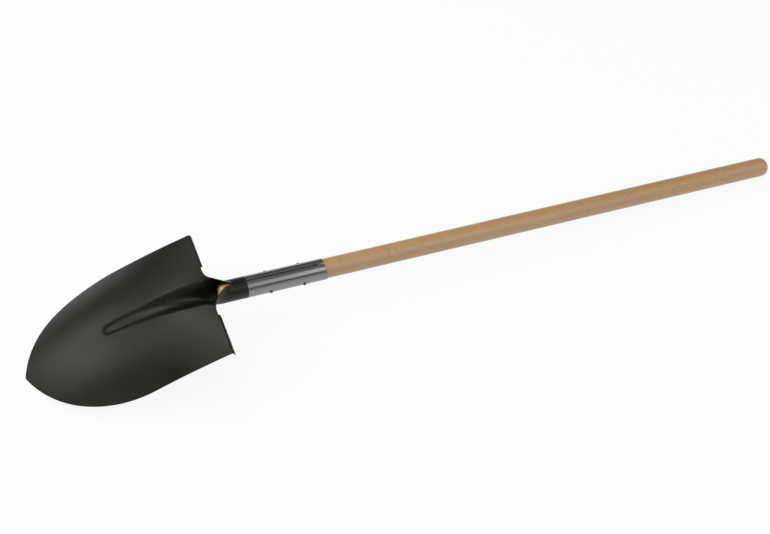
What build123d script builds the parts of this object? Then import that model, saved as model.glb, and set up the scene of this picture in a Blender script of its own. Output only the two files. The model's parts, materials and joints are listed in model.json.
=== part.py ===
from build123d import *
import os
from math import acos, asin, atan, atan2, cos, degrees, hypot, pi, radians, sin, sqrt, tan

# Long-handled round-point shovel, in millimetres. It lies on the ground with its back up, resting on
# the blade's tip and the handle's butt. +X runs from the blade to the butt, and the origin is on the
# ground below the middle of the tool.

# Blade outline, seen square to the handle
blade_half_width = 124.0
side_length = 126.0
shoulder_radius = 230.0
shoulder_turn = 29.8
point_radius = 165.0
tip_rounding = 8.0

# Blade pressing, measured from the handle's axis
blade_sheet = 1.8
crown_height = 15.5
crown_angle = 3.4
crown_radius = 408.0
top_dish_radius = 870.0
tip_dish_radius = 145.6
dish_run = 260.0

# Frog, the groove that runs down the back from the socket
groove_neck_half_width = 31.5
groove_nose_half_width = 12.4
groove_bow = 0.85
groove_flare = 3.8
groove_flare_length = 14.0
groove_nose_depth = 5.0
groove_length = 172.5
groove_shoaling = 2.7
groove_neck_fullness = 1.05
groove_nose_fullness = 1.5

# Socket, rolled from the same sheet around the handle
socket_length = 207.5
socket_wall = 1.5
seam_gap = 2.0
mouth_gap = 4.5
mouth_gap_length = 38.0
neck_length = 44.0
neck_floor_length = 16.0
neck_fillet = 7.0
neck_pinch = 2.0
neck_lift = 7.7

# Steps turned over along the top of the blade
step_inner_end = 50.0
step_bend_radius = 3.2
step_turn = 83.0
step_depth = 5.0

# Wooden handle, turned down where it sits in the socket
handle_diameter = 35.0
handle_turned_down = 0.3
shoulder_gap = 0.2
handle_fit = 0.1
handle_length = 1099.5
handle_setback = 16.5
handle_tip_rounding = 11.0
butt_rounding = 13.0

# Rivets through the socket and the handle
rivet_diameter = 3.4
rivet_fit = 0.1
rivet_head_diameter = 5.4
rivet_head_height = 3.0
rivet_head_rounding = 2.3
rivet_mouth_distance = 42.0
rivet_pitch = 60.5
rivet_tilt = 9.0

# How far the steps' and the neck's sheet lies inside the faces it runs out of, and along them
sheet_inset = 0.2
sheet_lap = 5.0

# Spacing of the cuts and points that the sheets are drawn through
wide_spacing = 15.0
close_spacing = 6.0
fine_spacing = 2.5
groove_points = 8
neck_points = 16
bend_points = 7

# Sizes that follow from the ones above
handle_radius = handle_diameter / 2
seat_radius = handle_radius - handle_turned_down
bore_radius = seat_radius + handle_fit
socket_radius = bore_radius + socket_wall
wall_radius = bore_radius + socket_wall / 2
step_sheet = blade_sheet - 2 * sheet_inset
neck_sheet = min(blade_sheet, socket_wall) - 2 * sheet_inset
first_turn = radians(shoulder_turn)
shoulder_x = side_length + shoulder_radius * sin(first_turn)
shoulder_y = blade_half_width - shoulder_radius * (1 - cos(first_turn))
last_turn = acos(cos(first_turn) - shoulder_y / point_radius)
point_x = shoulder_x + point_radius * (sin(last_turn) - sin(first_turn))
blade_length = point_x - tip_rounding * (1 / sin(last_turn) - 1)
groove_neck_depth = crown_height + wall_radius
butt_x = handle_setback + handle_length


def crown(run):
    """Height of the blade's middle line over the handle's axis, at a distance down the blade."""
    return crown_height - tan(radians(crown_angle)) * run - run**2 / (2 * crown_radius)


def slant(run):
    """How much longer the sheet's thickness is in a cut square to the handle."""
    return hypot(1, tan(radians(crown_angle)) + run / crown_radius)


def dish(run):
    """Curvature of the blade from side to side."""
    ease = max(0.0, 1 - run / dish_run) ** 2
    return 1 / tip_dish_radius - (1 / tip_dish_radius - 1 / top_dish_radius) * ease


def groove_half_width(run):
    """Half the frog's width: it narrows on a slight bow towards the nose and flares at the neck."""
    share = 1 - min(run / groove_length, 1.0)
    flare = groove_flare * max(0.0, 1 - run / groove_flare_length) ** 2
    spread = groove_neck_half_width - groove_flare - groove_nose_half_width
    return groove_nose_half_width + spread * share**groove_bow + flare


def groove(run, y):
    """Depth of the frog: a rounded trough that shoals towards its round nose."""
    share = 1 - min(run / groove_length, 1.0)
    depth = groove_nose_depth + (groove_neck_depth - groove_nose_depth) * share**groove_shoaling
    fullness = groove_nose_fullness + (groove_neck_fullness - groove_nose_fullness) * share
    reach = hypot(y, max(run - groove_length, 0.0)) / groove_half_width(run)
    return depth * cos(pi / 2 * min(reach, 1.0) ** fullness) ** 2


def sheet_height(run, y):
    """Middle of the blade's sheet over the handle's axis."""
    return crown(run) - dish(run) * y**2 / 2 - groove(run, y)


def stations(start, end, spacing):
    """Even stations from start to end, about one spacing apart."""
    count = max(1, round(abs(end - start) / spacing))
    return [start + (end - start) * i / count for i in range(count + 1)]


# The tool leans so that the underside of the tip and the butt's rounding both touch the ground
tip_z = crown(blade_length) - blade_sheet / 2 * slant(blade_length)
butt_centre_x = butt_x - butt_rounding
butt_centre_z = handle_radius - butt_rounding
rest_run = butt_centre_x + blade_length
rest_rise = -butt_centre_z - tip_z
lean = atan2(rest_rise, rest_run) - asin(butt_rounding / hypot(rest_run, rest_rise))
least_x = -blade_length * cos(lean) + tip_z * sin(lean)
most_x = butt_centre_x * cos(lean) + butt_centre_z * sin(lean) + butt_rounding
ground_z = -blade_length * sin(lean) - tip_z * cos(lean)

# Tool plane: X runs up the handle's axis from the top of the blade, Z points out of the back
tool = Plane(
    origin=(-(least_x + most_x) / 2, 0, ground_z),
    x_dir=(cos(lean), 0, -sin(lean)),
    z_dir=(sin(lean), 0, cos(lean)),
)
handle_axis = Axis(tool.origin, tool.x_dir)


def along(y):
    """Plane along the tool at one side of its middle: its X is the tool's X, its Y the tool's Z."""
    return Plane(tool.from_local_coords(Vector(0, y, 0)), x_dir=tool.x_dir, z_dir=(0, -1, 0))


def across(x):
    """Plane square to the handle: its X is the tool's Y, its Y the tool's Z."""
    return Plane(tool.from_local_coords(Vector(x, 0, 0)), x_dir=(0, 1, 0), z_dir=tool.x_dir)


def rivet_plane(x):
    """Plane along the tool, square to a rivet that crosses the handle's axis at a tilt."""
    rivet_dir = Vector(0, 1, 0).rotate(handle_axis, rivet_tilt)
    return Plane(tool.from_local_coords(Vector(x, 0, 0)), x_dir=tool.x_dir, z_dir=rivet_dir)


def beside(line, distance):
    """Points beside a line of points, at a distance square to it."""
    result = []
    for i, (a, b) in enumerate(line):
        before, after = line[max(i - 1, 0)], line[min(i + 1, len(line) - 1)]
        da, db = after[0] - before[0], after[1] - before[1]
        scale = distance / hypot(da, db)
        result.append((a - db * scale, b + da * scale))
    return result


def sheet_section(plane, line, thickness):
    """Cut through a sheet whose middle follows a line of points."""
    with BuildSketch(plane) as section:
        with BuildLine():
            back = Spline(*beside(line, thickness / 2))
            front = Spline(*beside(line, -thickness / 2))
            Line(back @ 0, front @ 0)
            Line(back @ 1, front @ 1)
        make_face()
    return section.sketch


def blade_line(run):
    """Middle of the blade's sheet from side to side, to just past its outline."""
    edge = groove_half_width(run)
    right = stations(0.0, edge, edge / groove_points)
    right += stations(edge, blade_half_width + blade_sheet, wide_spacing)[1:]
    return [(y, sheet_height(run, y)) for y in [-y for y in right[:0:-1]] + right]


def neck_line(x):
    """Middle of the sheet that leaves the blade as an open trough and rolls up around the handle.

    Its two flaps stand up over the handle as they close.
    """
    seam_angle = pi - asin((seam_gap / 2 + sheet_inset) / wall_radius)
    run = max(-x, 0.0)
    half_width = groove_half_width(run)
    flare = neck_fillet - sqrt(neck_fillet**2 - max(neck_fillet - max(x, 0.0), 0.0) ** 2)
    line = []
    for share in stations(-1.0, 1.0, 1 / neck_points):
        reach = share * (1 + flare / half_width)
        roll_length = neck_floor_length + (neck_length - neck_floor_length) * min(reach**2, 1.0)
        turn = min(max(x / roll_length, 0.0), 1.0)
        rolled = turn**2 * (3 - 2 * turn) + neck_pinch * turn * (1 - turn) ** 2
        lift = neck_lift * 4 * turn * (1 - turn) * (1 - turn**4) * reach**4
        open_y = reach * half_width
        open_z = sheet_height(run, open_y)
        closed_y = wall_radius * sin(reach * seam_angle)
        closed_z = -wall_radius * cos(reach * seam_angle)
        line.append((open_y + (closed_y - open_y) * rolled, open_z + (closed_z - open_z) * rolled + lift))
    return line


def step_line(y):
    """Middle of the sheet that runs on from the blade's top edge and turns to the digging side."""
    line = [(x, sheet_height(-x, y)) for x in stations(-sheet_lap, 0.0, fine_spacing)]
    rise = atan(sheet_height(0.0, y) - sheet_height(1.0, y))
    start_x, start_z = line[-1]
    for turn in stations(0.0, radians(step_turn), radians(step_turn) / bend_points)[1:]:
        bend_x = start_x + step_bend_radius * (sin(rise) - sin(rise - turn))
        bend_z = start_z + step_bend_radius * (cos(rise - turn) - cos(rise))
        line.append((bend_x, bend_z))
    heading = rise - radians(step_turn)
    for length in stations(0.0, step_depth, fine_spacing)[1:]:
        line.append((bend_x + length * cos(heading), bend_z + length * sin(heading)))
    return line


# Where the blade's sheet is cut: close together at the neck and around the frog's nose
nose_start = groove_length - groove_nose_half_width
nose_end = groove_length + groove_nose_half_width
blade_runs = stations(0.0, groove_neck_half_width, close_spacing)
blade_runs += stations(groove_neck_half_width, nose_start, wide_spacing)[1:]
blade_runs += stations(nose_start, nose_end, fine_spacing)[1:]
blade_runs += stations(nose_end, point_x + blade_sheet, wide_spacing)[1:]
neck_xs = stations(-sheet_lap, 0.0, fine_spacing)
neck_xs += stations(0.0, neck_length + sheet_lap, fine_spacing)[1:]
step_ys = stations(step_inner_end, blade_half_width, wide_spacing)
upper_rivet_x = socket_length - rivet_mouth_distance
rivet_xs = {"lower_rivet": upper_rivet_x - rivet_pitch, "upper_rivet": upper_rivet_x}

# Head: blade, frog, steps and socket pressed from one sheet
with BuildPart() as head:
    loft(
        [sheet_section(across(-run), blade_line(run), blade_sheet * slant(run)) for run in blade_runs],
        ruled=True,
    )
    with BuildSketch(tool):
        with BuildLine():
            edge = Line((0, blade_half_width), (-side_length, blade_half_width))
            shoulder = JernArc(edge @ 1, edge % 1, shoulder_radius, shoulder_turn)
            JernArc(shoulder @ 1, shoulder % 1, point_radius, degrees(last_turn) - shoulder_turn)
            mirror(about=Plane.XZ)
            Line((0, -blade_half_width), (0, blade_half_width))
        make_face()
        fillet(vertices().sort_by(Axis.X)[0], tip_rounding)
    extrude(amount=2 * point_x, both=True, mode=Mode.INTERSECT)
    loft([sheet_section(across(x), neck_line(x), neck_sheet) for x in neck_xs], ruled=True)
    for hand in (-1, 1):
        loft([sheet_section(along(hand * y), step_line(y), step_sheet) for y in step_ys], ruled=True)
    with BuildSketch(across(neck_length)):
        Circle(socket_radius)
        Circle(bore_radius, mode=Mode.SUBTRACT)
        Rectangle(seam_gap, 2 * socket_radius, align=(Align.CENTER, Align.MIN), mode=Mode.SUBTRACT)
    extrude(amount=socket_length - neck_length)
    with BuildSketch(tool):
        with BuildLine():
            Polyline(
                (socket_length - mouth_gap_length, -seam_gap / 2),
                (socket_length, -mouth_gap / 2),
                (socket_length, mouth_gap / 2),
                (socket_length - mouth_gap_length, seam_gap / 2),
                close=True,
            )
        make_face()
    extrude(amount=2 * socket_radius, mode=Mode.SUBTRACT)
    for x in rivet_xs.values():
        with BuildSketch(rivet_plane(x)):
            Circle(rivet_diameter / 2 + rivet_fit)
        extrude(amount=2 * socket_radius, both=True, mode=Mode.SUBTRACT)
head.part.label = "shovel_head"

# Handle: a round wooden pole with a turned-down seat in the socket, domed at both ends
with BuildPart() as handle:
    with BuildSketch(along(0)):
        with BuildLine():
            Polyline(
                (handle_setback, 0),
                (handle_setback, seat_radius),
                (socket_length + shoulder_gap, seat_radius),
                (socket_length + shoulder_gap, handle_radius),
                (butt_x, handle_radius),
                (butt_x, 0),
                close=True,
            )
        make_face()
        fillet(vertices().group_by(Axis.X)[0].sort_by(Axis.Y)[-1], handle_tip_rounding)
        fillet(vertices().group_by(Axis.X)[-1].sort_by(Axis.Y)[-1], butt_rounding)
    revolve(axis=handle_axis)
    for x in rivet_xs.values():
        with BuildSketch(rivet_plane(x)):
            Circle(rivet_diameter / 2 + rivet_fit)
        extrude(amount=2 * handle_radius, both=True, mode=Mode.SUBTRACT)
handle.part.label = "handle"

os.makedirs("parts", exist_ok=True)
export_step(head.part, "parts/shovel_head.step")
export_step(handle.part, "parts/handle.step")

# Rivets: a shank through socket and handle, with a domed head seated on the socket at each end
for name, x in rivet_xs.items():
    with BuildPart() as rivet:
        with BuildSketch(rivet_plane(x)):
            Circle(rivet_head_diameter / 2)
        extrude(amount=socket_radius + rivet_head_height, both=True)
        fillet(edges().filter_by(GeomType.CIRCLE), rivet_head_rounding)
        with BuildSketch(across(x - rivet_head_diameter)):
            Circle(socket_radius + rivet_fit)
        extrude(amount=2 * rivet_head_diameter, mode=Mode.SUBTRACT)
        with BuildSketch(rivet_plane(x)):
            Circle(rivet_diameter / 2)
        extrude(amount=socket_radius + rivet_head_height / 2, both=True)
    rivet.part.label = name
    export_step(rivet.part, f"parts/{name}.step")
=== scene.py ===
import json
import bpy
import numpy as np
from mathutils import Matrix


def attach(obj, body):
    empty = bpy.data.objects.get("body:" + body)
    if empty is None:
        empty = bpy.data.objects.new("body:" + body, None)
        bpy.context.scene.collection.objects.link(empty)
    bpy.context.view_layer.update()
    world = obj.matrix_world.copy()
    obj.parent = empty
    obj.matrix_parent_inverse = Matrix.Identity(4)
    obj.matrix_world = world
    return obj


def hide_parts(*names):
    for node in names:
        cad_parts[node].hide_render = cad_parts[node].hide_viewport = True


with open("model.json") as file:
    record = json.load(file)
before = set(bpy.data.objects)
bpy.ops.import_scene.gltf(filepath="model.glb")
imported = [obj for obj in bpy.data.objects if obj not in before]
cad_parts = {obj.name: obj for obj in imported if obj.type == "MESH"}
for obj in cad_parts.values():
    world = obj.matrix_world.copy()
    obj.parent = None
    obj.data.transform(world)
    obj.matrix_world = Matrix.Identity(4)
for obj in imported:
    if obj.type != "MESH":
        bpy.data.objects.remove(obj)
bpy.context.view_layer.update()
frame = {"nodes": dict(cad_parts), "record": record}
print("frame loaded with", ", ".join(sorted(frame["nodes"])))

# sizes are in millimetres in the tool's own frame: x runs up the handle from the blade's top edge,
# y runs to the side and z points out of the back; toWorld puts them in the row frame in metres
mmPerMetre = 1000
handle = {
    "diameter": 35.0,
    "turnedDown": 0.3,  # on the radius, inside the socket
    "shoulderGap": 0.2,  # from the socket's mouth to the shoulder
    "shoulderBevel": 0.2, "shoulderBevelRun": 0.3,
    "shoulderFace": 0.01,  # length of the step up to it, so that its face is nearly square
    "setback": 16.5,  # from the blade's top edge to the tip
    "length": 1099.5,
    "tipRounding": 11.0,
    "buttRounding": 13.0,
    "segments": 128, "roundingRows": 14, "rowSpacing": 9.0,
}
head = {
    "halfWidth": 124.0, "sideLength": 126.0,
    "shoulderRadius": 230.0, "shoulderTurn": 29.8,
    "pointRadius": 165.0, "tipRounding": 8.0,
    "crownHeight": 15.5, "crownAngle": 3.4, "crownRadius": 408.0,
    "topDishRadius": 870.0, "tipDishRadius": 145.6, "dishRun": 260.0,
    "grooveNeckHalfWidth": 31.5, "grooveNoseHalfWidth": 12.4, "grooveBow": 0.85,
    "grooveFlare": 3.8, "grooveFlareLength": 14.0,
    "grooveNoseDepth": 5.0, "grooveLength": 172.5, "grooveShoaling": 2.7,
    "grooveNeckFullness": 1.05, "grooveNoseFullness": 1.5,
    "socketLength": 207.5, "socketFit": 0.1, "sheet": 1.6,
    "seamGap": 2.0, "mouthGap": 3.4, "mouthGapLength": 38.0, "mouthSlant": 2.8,
    "neckLength": 44.0, "neckFloorLength": 16.0, "neckFillet": 7.0, "neckPinch": 2.0, "neckLift": 7.7,
    "stepInnerEnd": 50.0, "stepBendRadius": 3.2, "stepTurn": 83.0, "stepDepth": 5.0,
    "stepEndLength": 7.0, "stepEndTurn": 0.4, "stepEndDepth": 0.5,  # how the inner ends ease in
    "edgeRound": 0.35, "edgeSegments": 2, "edgeAngle": 50.0,
    "bladeRows": 170, "grooveColumns": 26, "notchColumns": 5, "stepColumns": 26, "stepCrowding": 1.7,
    "neckRows": 26, "socketRows": 50, "bendRows": 8, "stepRows": 4,
}
handleRadius = handle["diameter"] / 2
seatRadius = handleRadius - handle["turnedDown"]
wallRadius = seatRadius + head["socketFit"] + head["sheet"] / 2
shoulderX = head["socketLength"] + handle["shoulderGap"]
buttX = handle["setback"] + handle["length"]
shaft = next(mount for mount in frame["record"]["mounts"] if mount["name"] == "handle_shaft")
toolX = np.array(shaft["axis"])
toolY = np.array([0.0, 1.0, 0.0])
toolZ = np.cross(toolX, toolY)
shaftMiddle = (shoulderX + buttX - handle["buttRounding"]) / 2
toolOrigin = np.array(shaft["pos_m"]) - toolX * shaftMiddle / mmPerMetre


def toWorld(points):
    return toolOrigin + np.asarray(points) @ np.stack([toolX, toolY, toolZ]) / mmPerMetre


# meshes

def gridFaces(rows, columns, start=0, closed=False):  # quads of a grid, wrapped round when closed
    row = np.arange(rows - 1)[:, None] * columns
    column = np.arange(columns if closed else columns - 1)[None, :]
    after = (column + 1) % columns
    corners = [row + column, row + after, row + columns + after, row + columns + column]
    return start + np.stack(corners, axis=-1).reshape(-1, 4)


def makeMesh(name, points, faces):
    mesh = bpy.data.meshes.new(name)
    mesh.from_pydata(points.tolist(), [], faces)
    mesh.validate()
    mesh.polygons.foreach_set("use_smooth", np.ones(len(mesh.polygons), bool))
    piece = bpy.data.objects.new(name, mesh)
    bpy.context.scene.collection.objects.link(piece)
    return piece


def weldGrids(name, grids):  # grids that share edge points become one sheet
    points = np.concatenate([grid.reshape(-1, 3) for grid in grids])
    starts = np.cumsum([0] + [grid.shape[0] * grid.shape[1] for grid in grids])
    faces = np.concatenate([gridFaces(*grid.shape[:2], start) for grid, start in zip(grids, starts)])
    rounded = np.round(points, decimals=4)
    first, same = np.unique(rounded, axis=0, return_index=True, return_inverse=True)[1:]
    return makeMesh(name, toWorld(points[first]), same.reshape(-1)[faces].tolist())


# head: one pressed sheet, drawn as its middle surface and then given its thickness

def outlineRun(y):  # how far down the blade its outline lies: side, shoulder arc, point arc, tip arc
    turn = np.radians(head["shoulderTurn"])
    shoulderY = head["halfWidth"] - head["shoulderRadius"] * (1 - np.cos(turn))
    pointX = head["sideLength"] + (head["shoulderRadius"] - head["pointRadius"]) * np.sin(turn)
    pointY = shoulderY - head["pointRadius"] * np.cos(turn)
    reach = head["pointRadius"] - head["tipRounding"]
    tipX = pointX + np.sqrt(reach ** 2 - pointY ** 2)
    tipY = pointY * (1 - head["pointRadius"] / reach)
    side = np.abs(y)
    shoulder = head["shoulderRadius"] ** 2 - (side - head["halfWidth"] + head["shoulderRadius"]) ** 2
    point = head["pointRadius"] ** 2 - (side - pointY) ** 2
    tip = head["tipRounding"] ** 2 - side ** 2
    runs = [tipX + np.sqrt(np.maximum(tip, 0)), pointX + np.sqrt(np.maximum(point, 0))]
    shoulderRun = head["sideLength"] + np.sqrt(np.maximum(shoulder, 0))
    return np.select([side < tipY, side < shoulderY], runs, shoulderRun)


def grooveHalfWidth(run):  # narrows on a slight bow towards the nose, and flares where it meets the neck
    share = 1 - np.clip(run / head["grooveLength"], 0, 1)
    flare = head["grooveFlare"] * np.clip(1 - run / head["grooveFlareLength"], 0, 1) ** 2
    spread = head["grooveNeckHalfWidth"] - head["grooveFlare"] - head["grooveNoseHalfWidth"]
    return head["grooveNoseHalfWidth"] + spread * share ** head["grooveBow"] + flare


def sheetHeight(run, y):  # crown parabola less the dish from side to side and the groove's cosine trough
    slope = np.tan(np.radians(head["crownAngle"]))
    crown = head["crownHeight"] - slope * run - run ** 2 / (2 * head["crownRadius"])
    tipBend, topBend = 1 / head["tipDishRadius"], 1 / head["topDishRadius"]
    bend = tipBend - (tipBend - topBend) * np.maximum(0, 1 - run / head["dishRun"]) ** 2
    share = 1 - np.clip(run / head["grooveLength"], 0, 1)
    deepening = head["crownHeight"] + wallRadius - head["grooveNoseDepth"]
    depth = head["grooveNoseDepth"] + deepening * share ** head["grooveShoaling"]
    fullness = head["grooveNoseFullness"] + (head["grooveNeckFullness"] - head["grooveNoseFullness"]) * share
    reach = np.hypot(y, np.maximum(run - head["grooveLength"], 0)) / grooveHalfWidth(run)
    groove = depth * np.cos(np.pi / 2 * np.minimum(reach, 1) ** fullness) ** 2
    return crown - bend * y ** 2 / 2 - groove


def bladeGrid(columnY):  # every column runs straight from the top edge down to the outline
    run = np.linspace(0, 1, head["bladeRows"])[:, None] * outlineRun(columnY)[None, :]
    y = np.broadcast_to(columnY, run.shape)
    return np.stack([-run, y, sheetHeight(run, y)], axis=-1)


def neckGrid(shares):  # the trough's section eases into a ring round the handle, open along the seam
    half, fillet = head["grooveNeckHalfWidth"], head["neckFillet"]
    neckX = np.linspace(0, head["neckLength"], head["neckRows"])
    socketX = np.linspace(head["neckLength"], head["socketLength"], head["socketRows"])[1:]
    x = np.concatenate([neckX, socketX])[:, None]
    flare = fillet - np.sqrt(fillet ** 2 - np.maximum(fillet - x, 0) ** 2)
    reach = shares[None, :] * (1 + flare / half)
    rollGrowth = head["neckLength"] - head["neckFloorLength"]
    rollLength = head["neckFloorLength"] + rollGrowth * np.minimum(reach ** 2, 1)  # the flaps close last
    share = np.clip(x / rollLength, 0, 1)
    rolled = share ** 2 * (3 - 2 * share) + head["neckPinch"] * share * (1 - share) ** 2
    mouth = np.clip((x - head["socketLength"] + head["mouthGapLength"]) / head["mouthGapLength"], 0, 1)
    gap = head["seamGap"] + (head["mouthGap"] - head["seamGap"]) * mouth
    turn = reach * (np.pi - np.arcsin(gap / 2 / wallRadius))
    openY = reach * half
    openZ = sheetHeight(np.zeros_like(openY), openY)
    lift = head["neckLift"] * 4 * share * (1 - share) * (1 - share ** 4) * reach ** 4  # flaps stand up
    y = openY + (wallRadius * np.sin(turn) - openY) * rolled
    z = openZ + (-wallRadius * np.cos(turn) - openZ) * rolled + lift
    x = x - head["mouthSlant"] * mouth ** 2 * z / wallRadius  # the mouth is cut a little aslant
    return np.stack([x, y, z], axis=-1)


def stepGrid(columnY):  # the top edge turned over on a small arc to the digging side, then straight
    rise = np.arctan(sheetHeight(0.0, columnY) - sheetHeight(1.0, columnY))
    inner = np.clip((np.abs(columnY) - head["stepInnerEnd"]) / head["stepEndLength"], 0, 1)
    ease = np.sqrt(1 - (1 - inner) ** 2)  # both the turn and the depth grow from the inner end
    full = np.radians(head["stepTurn"]) * (head["stepEndTurn"] + (1 - head["stepEndTurn"]) * ease)
    turn = np.linspace(0, 1, head["bendRows"])[:, None] * full
    x = head["stepBendRadius"] * (np.sin(rise) - np.sin(rise - turn))
    z = sheetHeight(0.0, columnY) + head["stepBendRadius"] * (np.cos(rise - turn) - np.cos(rise))
    depth = head["stepDepth"] * ease + head["stepEndDepth"]
    length = np.linspace(0, 1, head["stepRows"])[1:, None] * depth
    x = np.concatenate([x, x[-1] + length * np.cos(rise - full)])
    z = np.concatenate([z, z[-1] + length * np.sin(rise - full)])
    return np.stack([x, np.broadcast_to(columnY, x.shape), z], axis=-1)


def makeHead():  # the blade, the neck and both steps share the points of the top edge
    neckEdge = head["grooveNeckHalfWidth"] + head["neckFillet"]
    shares = np.linspace(-1, 1, 2 * head["grooveColumns"] + 1)
    notch = np.linspace(neckEdge, head["stepInnerEnd"], head["notchColumns"])
    spread = 1 - (1 - np.linspace(0, 1, head["stepColumns"])) ** head["stepCrowding"]  # closer at the corner
    step = head["stepInnerEnd"] + (head["halfWidth"] - head["stepInnerEnd"]) * spread
    right = np.concatenate([notch[1:], step[1:]])
    columns = np.concatenate([-right[::-1], shares * neckEdge, right])
    grids = [bladeGrid(columns), neckGrid(shares), stepGrid(step), stepGrid(-step[::-1])]
    grids[1:] = [grid[:, ::-1] for grid in grids[1:]]  # these run the other way from the shared edge
    piece = weldGrids("shovelHead", grids)
    wall = piece.modifiers.new("sheet", "SOLIDIFY")
    wall.thickness = head["sheet"] / mmPerMetre
    wall.offset = 0
    rim = piece.modifiers.new("rim", "BEVEL")
    rim.width = head["edgeRound"] / mmPerMetre
    rim.segments = head["edgeSegments"]
    rim.limit_method = "ANGLE"
    rim.angle_limit = np.radians(head["edgeAngle"])
    rim.use_clamp_overlap = False
    return piece


# handle: a profile turned about the axis

def turnedPiece(name, along, radius, segments):  # rings of the profile's radius, closed by a fan at each end
    rows = len(along)
    angle = np.arange(segments) * 2 * np.pi / segments
    reach = radius[:, None]
    rings = np.broadcast_arrays(along[:, None], reach * np.sin(angle), reach * np.cos(angle))
    ends = np.array([[along[0], 0, 0], [along[-1], 0, 0]])
    points = np.concatenate([np.stack(rings, axis=-1).reshape(-1, 3), ends])
    walls = gridFaces(rows, segments, closed=True)[:, ::-1]
    ring = np.arange(segments)
    after = (ring + 1) % segments
    lastRing = (rows - 1) * segments
    first = np.stack([np.full(segments, rows * segments), ring, after], axis=-1)
    last = np.stack([np.full(segments, rows * segments + 1), after + lastRing, ring + lastRing], axis=-1)
    return makeMesh(name, toWorld(points), walls.tolist() + first.tolist() + last.tolist())


def makeHandle():  # quarter arcs at both ends, with the seat, the shoulder and the shaft between
    tipRound, buttRound, spacing = handle["tipRounding"], handle["buttRounding"], handle["rowSpacing"]
    quarter = np.linspace(0, np.pi / 2, handle["roundingRows"])
    seatX = np.arange(handle["setback"] + tipRound, shoulderX, spacing)[1:]
    shaftX = np.arange(shoulderX + 2 * handle["shoulderBevel"], buttX - buttRound, spacing)
    along = np.concatenate([
        handle["setback"] + tipRound * (1 - np.cos(quarter)), seatX,
        [shoulderX - handle["shoulderFace"], shoulderX, shoulderX + handle["shoulderBevelRun"]],
        shaftX, buttX - buttRound * (1 - np.sin(quarter)),
    ])
    radius = np.concatenate([
        seatRadius - tipRound * (1 - np.sin(quarter)), np.full(len(seatX) + 1, seatRadius),
        [handleRadius - handle["shoulderBevel"], handleRadius], np.full(len(shaftX), handleRadius),
        handleRadius - buttRound * (1 - np.cos(quarter)),
    ])
    return turnedPiece("ashHandle", along, radius, handle["segments"])


headPiece = makeHead()
handlePiece = makeHandle()
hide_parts("shovel_head")
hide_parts("handle")
for piece, slotName in ((headPiece, "painted_steel"), (handlePiece, "handle_wood")):
    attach(piece, "root")
headFaces, handleFaces = len(headPiece.data.polygons), len(handlePiece.data.polygons)
print("pieces made:", headFaces, "head faces,", handleFaces, "handle faces")


# shader values

class Value:  # a socket that takes part in arithmetic; every operation adds a Math node
    def __init__(self, finish, socket):
        self.finish = finish
        self.socket = socket

    def math(self, operation, *values):
        return self.finish.add("ShaderNodeMath", {"operation": operation}, dict(enumerate(values)))

    def __add__(self, other):
        return self.math("ADD", self, other)

    def __sub__(self, other):
        return self.math("SUBTRACT", self, other)

    def __rsub__(self, other):
        return self.math("SUBTRACT", other, self)

    def __mul__(self, other):
        return self.math("MULTIPLY", self, other)

    def __truediv__(self, other):
        return self.math("DIVIDE", self, other)

    def __rtruediv__(self, other):
        return self.math("DIVIDE", other, self)

    def __pow__(self, other):
        return self.math("POWER", self, other)

    def __rpow__(self, other):
        return self.math("POWER", other, self)

    __radd__ = __add__
    __rmul__ = __mul__


class Finish:  # the node tree of one material, or of the world
    def __init__(self, name, owner=None):
        self.owner = owner or bpy.data.materials.new(name)
        self.owner.use_nodes = True
        self.tree = self.owner.node_tree
        self.tree.nodes.clear()

    def add(self, kind, settings=None, sockets=None, output=0):
        node = self.tree.nodes.new(kind)
        for key, setting in (settings or {}).items():
            setattr(node, key, setting)
        for key, value in (sockets or {}).items():
            if isinstance(value, Value):
                self.tree.links.new(value.socket, node.inputs[key])
            else:
                node.inputs[key].default_value = value
        return Value(self, node.outputs[output])

    def toolPlace(self):  # along the handle, to the side and up, in millimetres
        objectPlace = self.add("ShaderNodeTexCoord", output="Object")
        place = self.add("ShaderNodeVectorMath", {"operation": "SUBTRACT"}, {0: objectPlace, 1: toolOrigin})
        return [self.measure(place, axis * mmPerMetre) for axis in (toolX, toolY, toolZ)]

    def measure(self, place, axis):  # how far the place lies along the axis
        return self.add("ShaderNodeVectorMath", {"operation": "DOT_PRODUCT"}, {0: place, 1: axis}, "Value")

    def vector(self, x, y, z):
        return self.add("ShaderNodeCombineXYZ", None, {"X": x, "Y": y, "Z": z})

    def noise(self, place, scale, detail, roughness=0.5):
        sockets = {"Vector": place, "Scale": scale, "Detail": detail, "Roughness": roughness}
        return self.add("ShaderNodeTexNoise", None, sockets, "Fac")

    def grain(self, place, stretch, detail, roughness=0.5):  # noise with its own scale along and across
        along, side, up = place
        lengthways, across = stretch
        stretched = self.vector(along * lengthways, side * across, up * across)
        return self.noise(stretched, 1.0, detail, roughness)

    def between(self, value, low, high):  # 0 at low, 1 at high, eased and clamped
        settings = {"interpolation_type": "SMOOTHSTEP"}
        return self.add("ShaderNodeMapRange", settings, {"Value": value, "From Min": low, "From Max": high})

    def mixColour(self, share, first, second):  # a Mix node takes colours at 6 and 7 and gives one at 2
        colours = [colour if isinstance(colour, Value) else (*colour, 1.0) for colour in (first, second)]
        return self.add("ShaderNodeMix", {"data_type": "RGBA"}, {0: share, 6: colours[0], 7: colours[1]}, 2)

    def bump(self, height, strength, distance):
        sockets = {"Height": height, "Strength": strength, "Distance": distance}
        return self.add("ShaderNodeBump", None, sockets, "Normal")

    def surface(self, shader, kind="ShaderNodeOutputMaterial"):
        output = self.tree.nodes.new(kind)
        self.tree.links.new(shader.socket, output.inputs["Surface"])
        return self.owner


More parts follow.
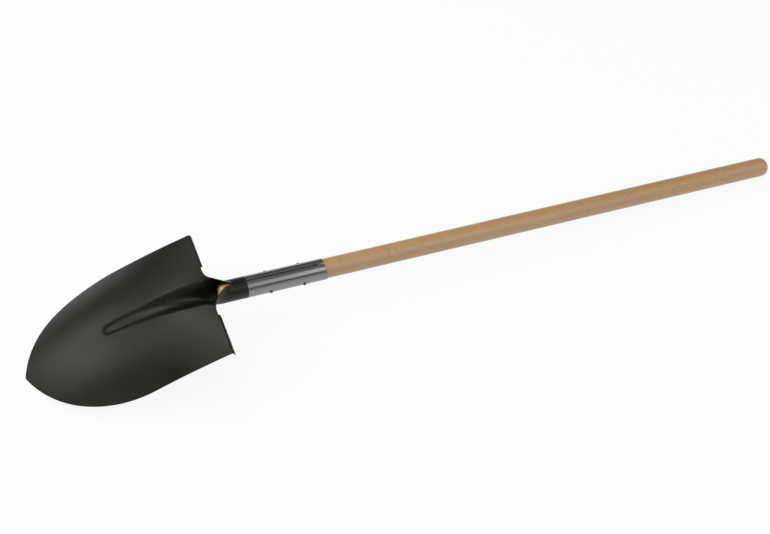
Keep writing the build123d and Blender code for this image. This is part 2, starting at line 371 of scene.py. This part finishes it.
paint = {
    "lineAt": 65.0, "lineSoftness": 0.5,  # millimetres up the socket from the blade's top edge
    "dark": (0.004, 0.0039, 0.0036),
    "light": (0.006, 0.0058, 0.0053),
    "cloudScale": 0.02, "speckScale": 1.1, "speckShare": 0.15, "lightFrom": 0.4, "lightTo": 0.75,
    "roughness": 0.38, "roughnessSpread": 0.1,
    "shine": 0.4,
    "tint": (1.0, 0.975, 0.88, 1.0),  # of its shine
    "bump": 0.12, "bumpDepth": 0.0002,  # metres
}
steel = {  # drawn lines run along the socket
    "dark": (0.21, 0.213, 0.213), "light": (0.29, 0.294, 0.293),
    "radius": 18.0, "lineStretch": 0.02, "lineScale": 1.6, "lineBump": 0.5,
    "roughness": 0.24, "roughnessSpread": 0.12,
}


def paintedSteel():
    finish = Finish("blackPaintAndBareSteel")
    along, side, up = finish.toolPlace()
    place = finish.vector(along, side, up)
    softness = paint["lineSoftness"]
    bare = finish.between(along, paint["lineAt"] - softness, paint["lineAt"] + softness)
    cloud = finish.noise(place, paint["cloudScale"], detail=4.0, roughness=0.55)
    speck = finish.noise(place, paint["speckScale"], detail=2.0)
    lighter = finish.between(cloud + paint["speckShare"] * speck, paint["lightFrom"], paint["lightTo"])
    black = finish.mixColour(lighter, paint["dark"], paint["light"])
    around = side.math("ARCTAN2", side, up) * steel["radius"]
    drawn = finish.vector(along * steel["lineStretch"], around, 0.0)
    lines = finish.noise(drawn, steel["lineScale"], detail=4.0, roughness=0.6)
    grey = finish.mixColour(lines, steel["dark"], steel["light"])
    smoother = steel["roughness"] - paint["roughness"] + steel["roughnessSpread"] * (lines - 0.5)
    roughness = paint["roughness"] + paint["roughnessSpread"] * (cloud - 0.5) + bare * smoother
    height = speck * (1 - bare) + lines * bare * steel["lineBump"]
    shader = finish.add("ShaderNodeBsdfPrincipled", None, {
        "Base Color": finish.mixColour(bare, black, grey), "Roughness": roughness, "Metallic": bare,
        "Normal": finish.bump(height, paint["bump"], paint["bumpDepth"]),
        "Specular IOR Level": paint["shine"], "Specular Tint": paint["tint"],
    })
    return finish.surface(shader)


wood = {  # lengths in millimetres; a stretch is a noise scale along the handle and one across it
    "gold": (0.59, 0.34, 0.125),
    "rose": (0.565, 0.358, 0.208),
    "late": (0.43, 0.235, 0.085),
    "goldSide": 0.018, "goldFrom": -4.0,  # more golden towards the far side
    "toneLow": 0.34, "toneHigh": 0.66, "toneFibre": 0.4,
    "heartSide": -9.0, "heartUp": 40.0, "ringSpacing": 2.9,
    "wanderStretch": (0.011, 0.02), "wanderSide": 14.0, "wanderUp": 44.0,
    "waveStretch": (0.05, 0.05), "waveUp": 4.0,
    "lateFrom": 0.35, "lateTo": 0.9, "lateContrast": 0.4,  # shares of a ring
    "fadeStretch": (0.02, 0.06), "fadeLow": 0.35, "fadeHigh": 0.65, "fadeLeast": 0.35,
    "fibreStretch": (0.03, 1.2), "patchStretch": (0.035, 0.14),
    "poreStretch": (0.09, 2.6), "poreLow": 0.6, "poreHigh": 0.75, "poreContrast": 0.3,
    "endGrain": (0.50, 0.285, 0.085),  # the end in the neck has drunk more varnish
    "paintedLightTip": (0.70, 0.41, 0.12),  # painted light: a lighter colour on its rounding, where the lamps leave it dark
    "endLength": 46.0, "endSoftness": 8.0, "tipLength": 24.0, "tipSoftness": 5.0,
    "flapShade": (0.035, 0.016, 0.003),  # painted shade on the end, in the corner under the far flap
    "flapShadeSide": 2.9, "flapShadeSoftness": 2.2,
    "socketShade": (0.010, 0.008, 0.006),  # painted shade on the wood inside the socket, seen through the seam
    "socketShadeFrom": 31.0, "socketShadeFull": 39.0, "socketShadeFade": 189.0, "socketShadeTo": 207.0,
    "roughness": 0.48, "roughnessSpread": 0.15,
    "coat": 0.5, "coatRoughness": 0.35,
    "bump": 0.15, "bumpDepth": 0.0003, "fibreBump": 0.5, "poreBump": 0.6,
}


def ashWood():
    finish = Finish("varnishedAsh")
    place = finish.toolPlace()
    along, side, up = place
    wander = finish.grain(place, wood["wanderStretch"], detail=2.0) - 0.5
    wave = finish.grain(place, wood["waveStretch"], detail=2.0) - 0.5
    fromHeart = side - wood["heartSide"] + wander * wood["wanderSide"]
    aboveHeart = up - wood["heartUp"] + wander * wood["wanderUp"] + wave * wood["waveUp"]
    rings = (fromHeart ** 2 + aboveHeart ** 2) ** 0.5 / wood["ringSpacing"]
    band = rings.math("FRACT", rings)
    late = finish.between(band, wood["lateFrom"], wood["lateTo"])
    late = late * (1 - finish.between(band, wood["lateTo"], 1.0))
    fibre = finish.grain(place, wood["fibreStretch"], detail=4.0, roughness=0.65)
    patch = finish.grain(place, wood["patchStretch"], detail=3.0, roughness=0.55)
    pores = finish.grain(place, wood["poreStretch"], detail=1.0)
    pores = finish.between(pores, wood["poreLow"], wood["poreHigh"])
    golden = wood["goldSide"] * (side - wood["goldFrom"])
    tone = patch + wood["toneFibre"] * (fibre - 0.5) + golden
    tone = finish.between(tone, wood["toneLow"], wood["toneHigh"])
    base = finish.mixColour(tone, wood["rose"], wood["gold"])
    fade = finish.grain(place, wood["fadeStretch"], detail=2.0)
    fade = finish.between(fade, wood["fadeLow"], wood["fadeHigh"])
    shown = wood["fadeLeast"] + (1 - wood["fadeLeast"]) * fade
    dark = late * shown * wood["lateContrast"] + pores * wood["poreContrast"]
    grained = finish.mixColour(dark, base, wood["late"])
    # painted light on the end's rounding, up to tipLength from the tip
    behindTip = finish.between(along, wood["tipLength"] - wood["tipSoftness"], wood["tipLength"])
    end = finish.mixColour(behindTip, wood["paintedLightTip"], wood["endGrain"])
    # painted shade: the end grows dark towards the far side, under the far flap
    softness = wood["flapShadeSoftness"]
    underFlapShade = finish.between(side, wood["flapShadeSide"] - softness, wood["flapShadeSide"] + softness)
    end = finish.mixColour(underFlapShade, end, wood["flapShade"])
    behindEnd = finish.between(along, wood["endLength"] - wood["endSoftness"], wood["endLength"])
    ended = finish.mixColour(1 - behindEnd, grained, end)
    # painted shade on the wood inside the socket, from behind the end to near the mouth
    socketShadeShare = finish.between(along, wood["socketShadeFrom"], wood["socketShadeFull"])
    socketShadeShare = socketShadeShare * (1 - finish.between(along, wood["socketShadeFade"], wood["socketShadeTo"]))
    height = fibre * wood["fibreBump"] - pores * wood["poreBump"]
    shader = finish.add("ShaderNodeBsdfPrincipled", None, {
        "Base Color": finish.mixColour(socketShadeShare, ended, wood["socketShade"]),
        "Roughness": wood["roughness"] + wood["roughnessSpread"] * (fibre - 0.5),
        "Normal": finish.bump(height, wood["bump"], wood["bumpDepth"]),
        "Coat Weight": wood["coat"], "Coat Roughness": wood["coatRoughness"],
    })
    return finish.surface(shader)


rivet = {
    "colour": (0.075, 0.075, 0.073), "worn": (0.18, 0.18, 0.176),
    "mottleScale": 0.9, "wornFrom": 0.4, "wornTo": 0.75,
    "roughness": 0.42, "roughnessSpread": 0.2,
    "bump": 0.2, "bumpDepth": 0.0002,
}


def rivetSteel():
    finish = Finish("dullRivetSteel")
    place = finish.vector(*finish.toolPlace())
    mottle = finish.noise(place, rivet["mottleScale"], detail=3.0, roughness=0.6)
    worn = finish.between(mottle, rivet["wornFrom"], rivet["wornTo"])
    shader = finish.add("ShaderNodeBsdfPrincipled", None, {
        "Base Color": finish.mixColour(worn, rivet["colour"], rivet["worn"]), "Metallic": 1.0,
        "Roughness": rivet["roughness"] + rivet["roughnessSpread"] * (mottle - 0.5),
        "Normal": finish.bump(mottle, rivet["bump"], rivet["bumpDepth"]),
    })
    return finish.surface(shader)


def dress(piece, material):
    piece.data.materials.clear()
    piece.data.materials.append(material)


dress(headPiece, paintedSteel())
dress(handlePiece, ashWood())
rivetMaterial = rivetSteel()
for name in ("lower_rivet", "upper_rivet"):
    dress(frame["nodes"][name], rivetMaterial)
print("finishes on")

# studio: a white floor with soft panels over the socket and handle, round the blade's tip and past the butt
studio = {
    "floorSize": 100.0,  # metres, so that views from 15 degrees up see no edge
    "floorDrop": 0.0002,  # metres under the ground that the tool rests on
    "floorColour": 0.9, "floorMottle": 0.02, "mottleScale": 6.0,
    "floorGlow": 0.9,  # share of the floor's white that shadows don't touch
    "world": 0.1,
}
lamps = {  # places in millimetres in the tool's frame, sizes in metres; watts are level times pi times area
    "key": {"from": (1300, -1110, 1780), "to": (1300, 0, 0), "size": (1.0, 1.36), "level": 2.25},
    "keyMid": {"from": (400, -1110, 1780), "to": (400, 0, 0), "size": (0.8, 1.36), "level": 0.75},
    "top": {"from": (900, 900, 1900), "to": (900, 0, 0), "size": (1.8, 3.46), "level": 0.17},
    "near": {"from": (900, -2060, 400), "to": (900, 0, 0), "size": (1.8, 0.82), "level": 0.55},
    "farMid": {"from": (-350, 720, 1970), "to": (-350, 0, 0), "size": (0.7, 1.53), "level": 3.2},
    "farTip": {"from": (-1100, 70, 2100), "to": (-1100, 0, 0), "size": (0.8, 1.2), "level": 1.5},
    "farLow": {"from": (-750, 1670, 1280), "to": (-750, 0, 0), "size": (1.5, 0.93), "level": 0.7},
    "tipMid": {"from": (-1780, 220, 1280), "to": (60, 0, 0), "size": (1.0, 1.2), "level": 2.85},
    "tipFarLow": {"from": (-1600, 1230, 900), "to": (60, 0, 0), "size": (1.3, 0.9), "level": 2.4},
    "tipNearLow": {"from": (-1630, -1240, 810), "to": (60, 0, 0), "size": (1.3, 0.9), "level": 1.05},
    "handleEnd": {"from": (2670, -290, 1220), "to": (60, 0, 0), "size": (1.2, 1.4), "level": 1.9},
}


def floorWhite():  # glows for the camera and in reflections, and is matte for the light that falls on it
    finish = Finish("paleFloor")
    kinds = ("Is Camera Ray", "Is Glossy Ray", "Is Transmission Ray")
    direct, glossy, through = [finish.add("ShaderNodeLightPath", output=kind) for kind in kinds]
    seen = direct.math("MAXIMUM", direct.math("MAXIMUM", direct, glossy), through)
    place = finish.add("ShaderNodeTexCoord", output="Object")
    mottle = finish.noise(place, studio["mottleScale"], detail=3.0)
    lighter = studio["floorColour"] + studio["floorMottle"]
    pale = finish.mixColour(mottle, (studio["floorColour"],) * 3, (lighter,) * 3)
    matte = finish.add("ShaderNodeBsdfDiffuse", None, {"Color": pale})
    glow = finish.add("ShaderNodeEmission", None, {"Color": (1, 1, 1, 1), "Strength": 1.0})
    mixed = finish.add("ShaderNodeMixShader", None, {0: seen * studio["floorGlow"], 1: matte, 2: glow})
    return finish.surface(mixed)


def makeFloor():
    square = np.array([[-1, -1, 0], [1, -1, 0], [1, 1, 0], [-1, 1, 0]])
    corners = square * studio["floorSize"] / 2 - np.array([0, 0, studio["floorDrop"]])
    floor = makeMesh("paleFloor", corners, [[0, 1, 2, 3]])
    dress(floor, floorWhite())


def makeWorld():
    world = bpy.data.worlds.new("studio")
    bpy.context.scene.world = world
    finish = Finish("studio", world)
    shade = finish.add("ShaderNodeBackground", None, {"Color": (1, 1, 1, 1), "Strength": studio["world"]})
    finish.surface(shade, "ShaderNodeOutputWorld")


def facing(place, target):  # matrix at place whose -Z looks at target and whose X lies along the handle
    back = (place - target) / np.linalg.norm(place - target)
    right = toolX - back * (toolX @ back)
    right = right / np.linalg.norm(right)
    matrix = np.eye(4)
    matrix[:3, :3] = np.stack([right, np.cross(back, right), back], axis=1)
    matrix[:3, 3] = place
    return Matrix(matrix.tolist())


def makeLamps():
    for name, lamp in lamps.items():
        data = bpy.data.lights.new(name, "AREA")
        data.shape = "RECTANGLE"
        length, width = lamp["size"]
        data.size, data.size_y = length, width
        data.energy = lamp["level"] * np.pi * length * width
        panel = bpy.data.objects.new(name, data)
        panel.matrix_world = facing(toWorld(lamp["from"]), toWorld(lamp["to"]))
        bpy.context.scene.collection.objects.link(panel)


camera = {
    "place": (-526.6, -1318.65, 2116.25),  # millimetres in the tool's frame
    "azimuth": -0.57535, "elevation": 0.94119, "roll": 0.25079,  # radians
    "lens": 70.13, "sensor": 36.0,
}


def makeCamera():  # azimuth and elevation place its back in the tool's frame, and it rolls about that
    azimuth, elevation = camera["azimuth"], camera["elevation"]
    level = np.cos(elevation)
    back = np.array([np.sin(azimuth) * level, -np.cos(azimuth) * level, np.sin(elevation)])
    right = np.array([np.cos(azimuth), np.sin(azimuth), 0.0])
    up = np.cross(back, right)
    cosine, sine = np.cos(camera["roll"]), np.sin(camera["roll"])
    axes = np.stack([cosine * right + sine * up, cosine * up - sine * right, back])
    matrix = np.eye(4)
    matrix[:3, :3] = (axes @ np.stack([toolX, toolY, toolZ])).T
    matrix[:3, 3] = toWorld(camera["place"])
    data = bpy.data.cameras.new("camera")
    data.lens = camera["lens"]
    data.sensor_width = camera["sensor"]
    viewer = bpy.data.objects.new("camera", data)
    viewer.matrix_world = Matrix(matrix.tolist())
    bpy.context.scene.collection.objects.link(viewer)
    bpy.context.scene.camera = viewer


makeFloor()
makeWorld()
makeLamps()
makeCamera()
bpy.context.scene.view_settings.view_transform = "Standard"
print("studio set")
